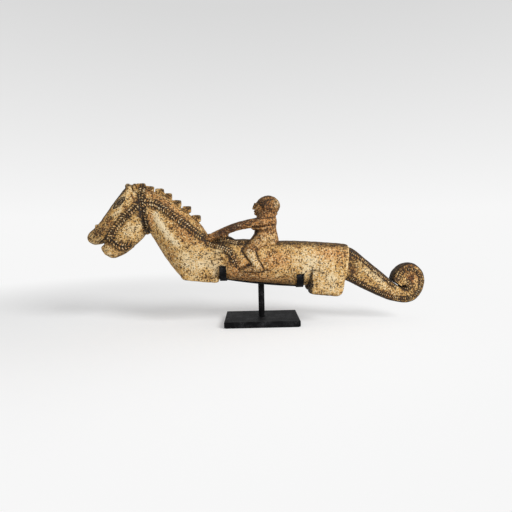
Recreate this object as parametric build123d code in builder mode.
"""Carved wooden horse and rider on a steel display stand.

Millimetres. +Z is up, the head points to -X and the tail to +X.
The origin is the middle of the stand's underside.
"""
import math
import os

from build123d import *

os.makedirs("parts", exist_ok=True)

# Stand: plate, felt and post
plate_length = 120.0
plate_width = 90.0
plate_thickness = 9.0
plate_edge_break = 0.8
felt_thickness = 1.0
felt_margin = 2.0
post_diameter = 10.0
screw_diameter = 5.0
screw_head_diameter = 10.0
screw_head_height = 2.8
screw_grip = 14.0
screw_clearance = 0.25

# Stand: strip under the belly and its two clips
bar_width = 14.0
bar_thickness = 2.0
clip_width = 11.0
clip_thickness = 2.4
clip_bend_radius = 19.0
front_clip_x = -60.5
rear_clip_x = 61.5
front_tab_height = 23.5
rear_tab_height = 20.5
front_belly_height = 74.0
middle_belly_height = 66.0
rear_belly_height = 61.2
cradle_clearance = 0.35
clip_inlet = 2.0

# Carving: joints between its pieces
belly_flat = 1.2
seat_clearance = 0.2
dowel_diameter = 8.0
dowel_length = 44.0
dowel_in_rider = 20.0
dowel_clearance = 0.1
tenon_height = 26.0
tenon_width = 20.0
tenon_length = 24.0
tenon_corner = 3.0
tenon_clearance = 0.3
peg_diameter = 6.0
peg_clearance = 0.1
peg_foot = 3.0

# Carving: trunk, where each size is a place along the horse, a height or a half width
chest_x = -108.0
withers_x = -40.0
seat_x = 15.0
back_x = 62.0
loin_x = 106.0
rump_x = 138.0
chest_top = 130.0
withers_top = 138.0
seat_top = 134.5
back_top = 133.2
loin_top = 129.8
rump_top = 125.0
rump_bottom = 59.0
chest_half_width = 27.0
withers_half_width = 32.0
barrel_half_width = 35.0
rump_half_width = 33.5

# Carving: leg stubs
leg_inner_y = 8.0
leg_edge = 4.0
hind_leg_front_x = 80.0
hind_leg_setback = 4.5
hind_leg_bottom = 45.6
hind_leg_top = 92.0
hind_leg_corner = 9.0
hind_leg_outer_y = 36.5
foreleg_front = (-125.0, 76.5)
foreleg_rear = (-68.0, 70.5)
foreleg_shoulder_x = -131.0
foreleg_top = 90.0
foreleg_corner = 7.0
foreleg_outer_y = 29.0

# Carving: head and mane
ear_diameter = 9.4
ear_spread = 17.0
ear_foot = (-206.5, 211.0)
ear_tip_x = -210.0
ear_tip_height = 231.0
forelock_foot = (-198.0, 208.0)
forelock_tip_x = -201.0
forelock_tip_height = 231.5
nostril_place = (-263.0, 162.5)
nostril_spread = 15.0
nostril_radius = 4.0
crest_thickness = 12.0
mane_width = 10.0
mane_tooth_length = 14.5
mane_tooth_height = 14.0
mane_tooth_setback = 5.0

# Carving: bridle straps, shoulder cords and the ridge of the withers
strap_width = 12.0
cord_width = 8.0
strap_rise = 1.4
withers_ridge_front = (-92.0, 131.0)
withers_ridge_rear = (-58.0, 134.5)
withers_ridge_radius = 10.0

# Carving: rider
dowel_x = 11.0
shoulder_place = (3.0, 166.0)
shoulder_spread = 40.0
elbow_place = (-39.0, 158.5)
hand_place = (-82.0, 141.0)
hand_spread = 26.0
arm_radius = 7.5
hand_radius = 6.5
hip_place = (2.0, 138.5)
hip_spread = 35.0
knee_place = (-19.0, 118.0)
knee_spread = 52.0
ankle_place = (-4.0, 95.0)
toe_place = (-28.0, 91.5)
foot_spread = 63.5
hip_radius = 13.0
knee_radius = 10.0
ankle_radius = 7.2
toe_radius = 5.4

# Carving: tail
tail_root_thickness = 44.0
tail_coil_thickness = 27.0
tail_root_top = 120.5
tail_root_bottom = 68.5
tail_corner = 8.0
coil_edge = 5.0
tail_length = 102.5
coil_height = 60.7
coil_half_width = 24.0
coil_half_height = 31.2
coil_lean = 8.0
slit_width = 2.4

strip_front = front_clip_x + clip_width / 2
strip_rear = rear_clip_x - clip_width / 2
strip_length = strip_rear - strip_front


def belly_height(x):
    """Height of the belly, and of the top of the strip under it, at a place along the horse."""
    past_front = x - strip_front
    past_rear = x - strip_rear
    to_front = -front_belly_height * x * past_rear / (strip_front * strip_length)
    to_middle = middle_belly_height * past_front * past_rear / (strip_front * strip_rear)
    to_rear = rear_belly_height * x * past_front / (strip_rear * strip_length)
    return to_front + to_middle + to_rear


def section_plane(low, high):
    """Plane of a section that runs from low to high, two (x, z) points of the middle plane."""
    run = high[0] - low[0]
    rise = high[1] - low[1]
    middle = ((low[0] + high[0]) / 2, 0, (low[1] + high[1]) / 2)
    return Plane(origin=middle, x_dir=(run, 0, rise), z_dir=(-rise, 0, run))


def ovals(sections, grow=0.0):
    """One oval sketch for each (low point, high point, half width), made larger all round by grow."""
    sketches = []
    for low, high, half_width in sections:
        with BuildSketch(section_plane(low, high)) as oval:
            Ellipse(math.dist(low, high) / 2 + grow, half_width + grow)
        sketches.append(oval.sketch)
    return sketches


def slabs(sections, corner):
    """One rounded rectangle for each (low point, high point, half width)."""
    sketches = []
    for low, high, half_width in sections:
        with BuildSketch(section_plane(low, high)) as slab:
            RectangleRounded(math.dist(low, high), 2 * half_width, corner)
        sketches.append(slab.sketch)
    return sketches


def limb(start, end, start_radius, end_radius):
    """Round bar with ball ends between two (x, y, z) points."""
    along = Vector(*end) - Vector(*start)
    with BuildSketch(Plane(origin=start, z_dir=along)) as near:
        Circle(start_radius)
    with BuildSketch(Plane(origin=end, z_dir=along)) as far:
        Circle(end_radius)
    loft([near.sketch, far.sketch])
    with Locations(start):
        Sphere(start_radius)
    with Locations(end):
        Sphere(end_radius)


def withers_ridge(grow=0.0):
    """Ridge on top of the withers that the rider's hands lie against, made larger all round by grow."""
    limb(
        (withers_ridge_front[0], 0, withers_ridge_front[1]),
        (withers_ridge_rear[0], 0, withers_ridge_rear[1]),
        withers_ridge_radius + grow,
        withers_ridge_radius + grow,
    )


def bands(forms, paths, width, rise):
    """Straps of one width along (x, z) paths on both flanks, standing a rise above the forms they cross."""
    with BuildPart() as carved:
        for sections in forms:
            loft(ovals(sections, grow=rise))
        with BuildSketch(Plane.XZ):
            for path in paths:
                with BuildLine():
                    Spline([Vector(*point) for point in path])
                trace(line_width=width)
        extrude(amount=2 * barrel_half_width, both=True, mode=Mode.INTERSECT)
    return carved.part


belly_cut = belly_flat - cradle_clearance
# Sections of the carving, each from a low (x, z) point to a high one, with its half width
trunk_sections = [
    ((chest_x, 82.0), (chest_x + 6, chest_top), chest_half_width),
    ((withers_x, belly_height(withers_x) - belly_cut), (withers_x + 1, withers_top), withers_half_width),
    ((seat_x, belly_height(seat_x) - belly_cut), (seat_x + 1, seat_top), barrel_half_width - 1),
    ((back_x, belly_height(back_x) - belly_cut), (back_x, back_top), barrel_half_width),
    ((loin_x, rump_bottom), (loin_x, loin_top), barrel_half_width),
    ((rump_x, rump_bottom), (rump_x, rump_top), rump_half_width),
]
neck_sections = [
    ((-131.0, 80.0), (-69.0, 78.0), 28.0),
    ((-139.0, 88.5), (-67.0, 94.0), 30.5),
    ((-152.0, 106.5), (-68.0, 124.0), 30.5),
    ((-166.0, 129.5), (-82.0, 141.0), 28.0),
    ((-177.0, 148.0), (-96.5, 163.5), 25.0),
    ((-188.0, 165.0), (-126.0, 190.0), 22.5),
    ((-199.0, 183.0), (-150.0, 209.0), 20.0),
    ((-206.0, 203.0), (-183.0, 222.0), 16.0),
]
skull_sections = [
    ((-186.0, 207.0), (-213.0, 225.5), 15.0),
    ((-183.0, 181.0), (-222.0, 213.7), 20.0),
    ((-189.0, 150.0), (-238.0, 194.0), 21.0),
    ((-210.0, 130.0), (-252.3, 176.5), 20.0),
    ((-229.0, 127.0), (-262.0, 165.0), 18.5),
]
muzzle_sections = [
    ((-236.0, 142.0), (-255.0, 173.0), 18.5),
    ((-253.0, 136.5), (-267.0, 161.5), 18.0),
    ((-268.0, 133.6), (-276.0, 154.5), 15.5),
    ((-276.5, 137.0), (-280.0, 148.0), 9.5),
]
jaw_sections = [
    ((-196.0, 142.0), (-224.0, 168.0), 20.0),
    ((-217.0, 122.5), (-240.0, 146.0), 18.5),
    ((-238.0, 111.5), (-252.0, 136.0), 16.0),
    ((-250.5, 116.0), (-258.5, 130.0), 11.0),
]
torso_sections = [
    ((-13.0, 122.0), (31.0, 122.0), 26.0),
    ((-11.0, 141.0), (29.5, 139.0), 22.0),
    ((-9.5, 153.0), (26.5, 154.0), 19.5),
    ((-8.0, 164.0), (27.5, 166.0), 23.0),
    ((-3.0, 173.5), (25.5, 174.5), 18.0),
    ((2.0, 180.0), (21.0, 180.0), 9.5),
]
tail_root_x = rump_x + seat_clearance
coil_center = (tail_root_x + tail_length, coil_height)
coil_bottom = coil_height - coil_half_height
tail_sections = [
    ((tail_root_x, tail_root_bottom), (tail_root_x, tail_root_top), tail_root_thickness / 2),
    ((tail_root_x + 22.0, 58.3), (tail_root_x + 29.0, 105.5), 20.0),
    ((tail_root_x + 49.0, 44.6), (tail_root_x + 61.6, 76.6), 17.0),
    ((tail_root_x + 70.0, 36.0), (tail_root_x + 77.6, 61.6), 15.0),
    ((coil_center[0] - 4.0, coil_bottom), (coil_center[0] - 9.0, 53.3), tail_coil_thickness / 2),
]
# Line between the tail and the coil that lies against it, from the coil's left edge inwards
slit_path = [
    (coil_center[0] - 36.0, 72.5),
    (coil_center[0] - 24.8, 61.7),
    (coil_center[0] - 17.6, 56.8),
    (coil_center[0] - 10.4, 53.3),
]
rider_head_sections = [
    ((-10.5, 184.0), (-10.5, 189.0), 5.0),
    ((-4.0, 177.0), (-4.0, 199.0), 12.0),
    ((12.0, 173.5), (12.0, 207.0), 16.0),
    ((26.0, 177.5), (26.0, 203.5), 13.0),
    ((32.5, 188.0), (32.5, 195.5), 5.0),
]
crest_points = [(-196.0, 214.0), (-171.0, 211.5), (-143.0, 197.0), (-107.0, 163.0)]
mane_tips = [
    (-186.2, 230.4),
    (-172.6, 226.1),
    (-155.8, 221.0),
    (-143.2, 213.5),
    (-129.8, 202.7),
    (-113.1, 192.7),
    (-98.1, 177.8),
]
bridle_paths = [
    [(-192.0, 199.0), (-216.0, 176.5), (-243.0, 149.5)],
    [(-177.0, 203.5), (-156.0, 197.3), (-120.9, 169.3), (-93.0, 146.0)],
    [(-183.5, 222.0), (-182.4, 193.0), (-178.0, 159.0)],
    [(-244.0, 147.5), (-231.5, 133.0), (-214.5, 128.5)],
]
cord_paths = [
    [(-84.0, 134.5), (-65.0, 126.5), (-50.0, 123.0), (-40.4, 98.0)],
    [(-82.0, 141.5), (-60.0, 137.0), (-30.0, 131.0)],
]

# Felt sheet under the plate
with BuildPart() as base_felt:
    with BuildSketch(Plane.XY):
        Rectangle(plate_length - 2 * felt_margin, plate_width - 2 * felt_margin)
    extrude(amount=felt_thickness)
base_felt.part.label = "base_felt"
export_step(base_felt.part, "parts/base_felt.step")

# Plate with the countersunk hole for the post screw
plate_top = felt_thickness + plate_thickness
with BuildPart() as base_plate:
    with BuildSketch(Plane.XY.offset(felt_thickness)):
        Rectangle(plate_length, plate_width)
    extrude(amount=plate_thickness)
    chamfer(base_plate.edges(), plate_edge_break)
    with Locations(Plane.XY.offset(felt_thickness).rotated((180, 0, 0))):
        CounterSinkHole(
            radius=screw_diameter / 2 + screw_clearance,
            counter_sink_radius=screw_head_diameter / 2 + screw_clearance,
            depth=plate_thickness,
        )
base_plate.part.label = "base_plate"
export_step(base_plate.part, "parts/base_plate.step")

# Post with the screw's hole in its foot
post_top = belly_height(0) - bar_thickness
screw_reach = felt_thickness + plate_thickness + screw_grip
with BuildPart() as post:
    with BuildSketch(Plane.XY.offset(plate_top)):
        Circle(post_diameter / 2)
    extrude(amount=post_top + bar_thickness - plate_top)
    with BuildSketch(Plane.XY.offset(plate_top)):
        Circle(screw_diameter / 2 + screw_clearance)
    extrude(amount=screw_reach - plate_top + screw_clearance, mode=Mode.SUBTRACT)
    with BuildSketch(Plane.XZ):
        with BuildLine():
            ThreePointArc(
                (strip_front, front_belly_height - bar_thickness),
                (0, post_top),
                (strip_rear, rear_belly_height - bar_thickness),
            )
            Polyline(
                (strip_rear, rear_belly_height - bar_thickness),
                (strip_rear, front_belly_height + plate_length),
                (strip_front, front_belly_height + plate_length),
                (strip_front, front_belly_height - bar_thickness),
            )
        make_face()
    extrude(amount=post_diameter, both=True, mode=Mode.SUBTRACT)
post.part.label = "post"
export_step(post.part, "parts/post.step")

# Countersunk screw from beneath
with BuildPart() as post_screw:
    with BuildSketch(Plane.XZ):
        with BuildLine():
            Polyline(
                (0, felt_thickness + screw_clearance),
                (screw_head_diameter / 2, felt_thickness + screw_clearance),
                (screw_diameter / 2, felt_thickness + screw_clearance + screw_head_height),
                (screw_diameter / 2, screw_reach),
                (0, screw_reach),
                close=True,
            )
        make_face()
    revolve(axis=Axis.Z)
post_screw.part.label = "post_screw"
export_step(post_screw.part, "parts/post_screw.step")

# Strip bent along the belly, between the two clips
with BuildPart() as cradle_bar:
    with BuildSketch(Plane.XZ):
        with BuildLine():
            ThreePointArc(
                (strip_front, front_belly_height),
                (0, middle_belly_height),
                (strip_rear, rear_belly_height),
            )
            Line((strip_rear, rear_belly_height), (strip_rear, rear_belly_height - bar_thickness))
            ThreePointArc(
                (strip_rear, rear_belly_height - bar_thickness),
                (0, middle_belly_height - bar_thickness),
                (strip_front, front_belly_height - bar_thickness),
            )
            Line((strip_front, front_belly_height - bar_thickness), (strip_front, front_belly_height))
        make_face()
    extrude(amount=bar_width / 2, both=True)
cradle_bar.part.label = "cradle_bar"
export_step(cradle_bar.part, "parts/cradle_bar.step")

clip_inner_half_width = barrel_half_width - 1 - clip_inlet


def clip_outline(belly, tab_height, outward):
    """Line of a clip's U, seen along the horse, moved outward from its inner face."""
    half_width = clip_inner_half_width + outward
    low = belly - outward
    high = belly + tab_height
    FilletPolyline(
        (-half_width, high),
        (-half_width, low),
        (half_width, low),
        (half_width, high),
        radius=clip_bend_radius + outward,
    )


def clip_pocket(x, belly, tab_height):
    """Cut the wood away outside a clip's inner face, up to the top of its tabs."""
    reach = 2 * barrel_half_width
    room = belly + tab_height + cradle_clearance
    with BuildSketch(Plane.YZ.offset(x - clip_width / 2 - cradle_clearance)) as pocket:
        with Locations((0, room)):
            Rectangle(2 * reach, room, align=(Align.CENTER, Align.MAX))
        with BuildSketch(mode=Mode.SUBTRACT):
            with BuildLine():
                clip_outline(belly, tab_height + 2 * cradle_clearance, -cradle_clearance)
                Line(
                    (clip_inner_half_width - cradle_clearance, belly + tab_height + 2 * cradle_clearance),
                    (-clip_inner_half_width + cradle_clearance, belly + tab_height + 2 * cradle_clearance),
                )
            make_face()
    extrude(pocket.sketch, amount=clip_width + 2 * cradle_clearance, mode=Mode.SUBTRACT)


# Clip behind the forelegs
with BuildPart() as front_clip:
    with BuildSketch(Plane.YZ.offset(front_clip_x - clip_width / 2)):
        with BuildLine():
            clip_outline(front_belly_height, front_tab_height, clip_thickness / 2)
        trace(line_width=clip_thickness)
    extrude(amount=clip_width)
front_clip.part.label = "front_clip"
export_step(front_clip.part, "parts/front_clip.step")

# Clip in front of the hind legs
with BuildPart() as rear_clip:
    with BuildSketch(Plane.YZ.offset(rear_clip_x - clip_width / 2)):
        with BuildLine():
            clip_outline(rear_belly_height, rear_tab_height, clip_thickness / 2)
        trace(line_width=clip_thickness)
    extrude(amount=clip_width)
rear_clip.part.label = "rear_clip"
export_step(rear_clip.part, "parts/rear_clip.step")

tenon_middle = (tail_root_top + tail_root_bottom) / 2
peg_x = rump_x - tenon_length / 2
peg_top = tenon_middle + tenon_height / 2 + peg_diameter
dowel_bottom = seat_top - (dowel_length - dowel_in_rider)


def leg_block(outline, corner, inner_y, outer_y):
    """Leg stub from its side outline, with round lower corners and round edges on its outer face."""
    with BuildPart() as block:
        with BuildSketch(Plane.XZ.offset(-inner_y)) as side:
            with BuildLine():
                Polyline(*outline, close=True)
            make_face()
            fillet(side.vertices().sort_by(Axis.Y)[:2], corner)
        extrude(amount=inner_y - outer_y)
        fillet(block.faces().sort_by(Axis.Y)[-1].edges(), leg_edge)
    return block.part


hind_leg = leg_block(
    [
        (hind_leg_front_x, hind_leg_bottom),
        (rump_x - hind_leg_setback, hind_leg_bottom),
        (rump_x - hind_leg_setback, hind_leg_top),
        (hind_leg_front_x, hind_leg_top),
    ],
    hind_leg_corner,
    leg_inner_y,
    hind_leg_outer_y,
)
foreleg = leg_block(
    [foreleg_front, foreleg_rear, (foreleg_rear[0], foreleg_top), (foreleg_shoulder_x, foreleg_top)],
    foreleg_corner,
    leg_inner_y,
    foreleg_outer_y,
)

head_forms = [neck_sections, skull_sections, muzzle_sections, jaw_sections]
shoulder_forms = [trunk_sections, neck_sections]

# Horse: trunk, neck, head and legs from one log
with BuildPart() as horse_body:
    loft(ovals(trunk_sections))
    loft(ovals(neck_sections))
    loft(ovals(skull_sections))
    loft(ovals(muzzle_sections))
    loft(ovals(jaw_sections))
    for leg in (hind_leg, foreleg):
        add(leg)
        add(leg.mirror(Plane.XZ))
    for side in (-1, 1):
        limb(
            (ear_foot[0], side * ear_spread / 2, ear_foot[1]),
            (ear_tip_x, side * ear_spread / 2, ear_tip_height - ear_diameter / 2),
            ear_diameter / 2,
            ear_diameter / 2,
        )
        with Locations((nostril_place[0], side * nostril_spread / 2, nostril_place[1])):
            Sphere(nostril_radius)
    limb(
        (forelock_foot[0], 0, forelock_foot[1]),
        (forelock_tip_x, 0, forelock_tip_height - ear_diameter / 2),
        ear_diameter / 2,
        ear_diameter / 2,
    )
    withers_ridge()
    with BuildSketch(Plane.XZ):
        with BuildLine():
            Spline([Vector(*point) for point in crest_points])
        trace(line_width=crest_thickness)
        for tip_x, tip_z in mane_tips:
            with Locations((tip_x - mane_tooth_setback, tip_z - mane_tooth_height / 2)):
                Ellipse(mane_tooth_length / 2, mane_tooth_height / 2)
    extrude(amount=mane_width / 2, both=True)
    add(bands(head_forms, bridle_paths, strap_width, strap_rise))
    add(bands(shoulder_forms, cord_paths, cord_width, strap_rise))
    # Flat along the belly for the strip, and the pockets of the clips
    with BuildSketch(Plane.XZ):
        with BuildLine():
            ThreePointArc(
                (strip_front, front_belly_height + cradle_clearance),
                (0, middle_belly_height + cradle_clearance),
                (strip_rear, rear_belly_height + cradle_clearance),
            )
            Polyline(
                (strip_rear, rear_belly_height + cradle_clearance),
                (strip_rear, 0),
                (strip_front, 0),
                (strip_front, front_belly_height + cradle_clearance),
            )
        make_face()
    extrude(amount=2 * barrel_half_width, both=True, mode=Mode.SUBTRACT)
    clip_pocket(front_clip_x, front_belly_height, front_tab_height)
    clip_pocket(rear_clip_x, rear_belly_height, rear_tab_height)
    # Mortise and peg hole for the tail, dowel hole for the rider
    with BuildSketch(Plane.YZ.offset(rump_x - tenon_length - tenon_clearance)):
        with Locations((0, tenon_middle)):
            RectangleRounded(
                tenon_width + 2 * tenon_clearance,
                tenon_height + 2 * tenon_clearance,
                tenon_corner + tenon_clearance,
            )
    extrude(amount=tenon_length + 2 * tenon_clearance, mode=Mode.SUBTRACT)
    with BuildSketch(Plane.XY.offset(rump_bottom - peg_foot)):
        with Locations((peg_x, 0)):
            Circle(peg_diameter / 2 + peg_clearance)
    extrude(amount=peg_top + peg_clearance - rump_bottom + peg_foot, mode=Mode.SUBTRACT)
    with BuildSketch(Plane.XY.offset(dowel_bottom - dowel_clearance)):
        with Locations((dowel_x, 0)):
            Circle(dowel_diameter / 2 + dowel_clearance)
    extrude(amount=dowel_length, mode=Mode.SUBTRACT)
horse_body.part.label = "horse_body"
export_step(horse_body.part, "parts/horse_body.step")

# The horse's back, neck and shoulder cords, made larger by the clearance of the rider's seat
with BuildPart() as seat:
    loft(ovals(trunk_sections, grow=seat_clearance))
    loft(ovals(neck_sections, grow=seat_clearance))
    withers_ridge(seat_clearance)
    add(bands(shoulder_forms, cord_paths, cord_width + 2 * seat_clearance, strap_rise + seat_clearance))

# Rider, cut to sit on the horse's back and against its neck
with BuildPart() as rider:
    loft(ovals(torso_sections))
    loft(ovals(rider_head_sections))
    for side in (-1, 1):
        shoulder = (shoulder_place[0], side * shoulder_spread / 2, shoulder_place[1])
        elbow = (elbow_place[0], side * (shoulder_spread + hand_spread) / 4, elbow_place[1])
        hand = (hand_place[0], side * hand_spread / 2, hand_place[1])
        limb(shoulder, elbow, arm_radius, arm_radius)
        limb(elbow, hand, arm_radius, hand_radius)
        hip = (hip_place[0], side * hip_spread / 2, hip_place[1])
        knee = (knee_place[0], side * knee_spread / 2, knee_place[1])
        ankle = (ankle_place[0], side * foot_spread / 2, ankle_place[1])
        toe = (toe_place[0], side * foot_spread / 2, toe_place[1])
        limb(hip, knee, hip_radius, knee_radius)
        limb(knee, ankle, knee_radius, ankle_radius)
        limb(ankle, toe, ankle_radius, toe_radius)
    add(seat.part, mode=Mode.SUBTRACT)
    with BuildSketch(Plane.XY.offset(dowel_bottom)):
        with Locations((dowel_x, 0)):
            Circle(dowel_diameter / 2 + dowel_clearance)
    extrude(amount=dowel_length + dowel_clearance, mode=Mode.SUBTRACT)
rider.part.label = "rider"
export_step(rider.part, "parts/rider.step")

# Dowel between the rider and the horse's back
with BuildPart() as rider_dowel:
    with BuildSketch(Plane.XY.offset(dowel_bottom)):
        with Locations((dowel_x, 0)):
            Circle(dowel_diameter / 2)
    extrude(amount=dowel_length)
rider_dowel.part.label = "rider_dowel"
export_step(rider_dowel.part, "parts/rider_dowel.step")

# Tail with its coil, tenon and peg hole
with BuildPart() as coil:
    with BuildSketch(Plane.XZ.offset(-tail_coil_thickness / 2)):
        with Locations(coil_center):
            Ellipse(coil_half_width, coil_half_height, rotation=-coil_lean)
    extrude(amount=tail_coil_thickness)
    fillet(coil.edges().filter_by(GeomType.ELLIPSE), coil_edge)

with BuildPart() as tail:
    loft(slabs(tail_sections, tail_corner))
    add(coil.part)
    with BuildSketch(Plane.XZ):
        with BuildLine():
            Spline([Vector(*point) for point in slit_path])
        trace(line_width=slit_width)
    extrude(amount=tail_root_thickness, both=True, mode=Mode.SUBTRACT)
    with BuildSketch(Plane.YZ.offset(rump_x - tenon_length)):
        with Locations((0, tenon_middle)):
            RectangleRounded(tenon_width, tenon_height, tenon_corner)
    extrude(amount=tenon_length + 2 * tenon_corner)
    with BuildSketch(Plane.XY.offset(rump_bottom)):
        with Locations((peg_x, 0)):
            Circle(peg_diameter / 2 + peg_clearance)
    extrude(amount=tail_root_top, mode=Mode.SUBTRACT)
tail.part.label = "tail"
export_step(tail.part, "parts/tail.step")

# Peg through the tail's tenon, driven from below
with BuildPart() as tail_peg:
    with BuildSketch(Plane.XY.offset(rump_bottom + peg_foot)):
        with Locations((peg_x, 0)):
            Circle(peg_diameter / 2)
    extrude(amount=peg_top - rump_bottom - peg_foot)
tail_peg.part.label = "tail_peg"
export_step(tail_peg.part, "parts/tail_peg.step")
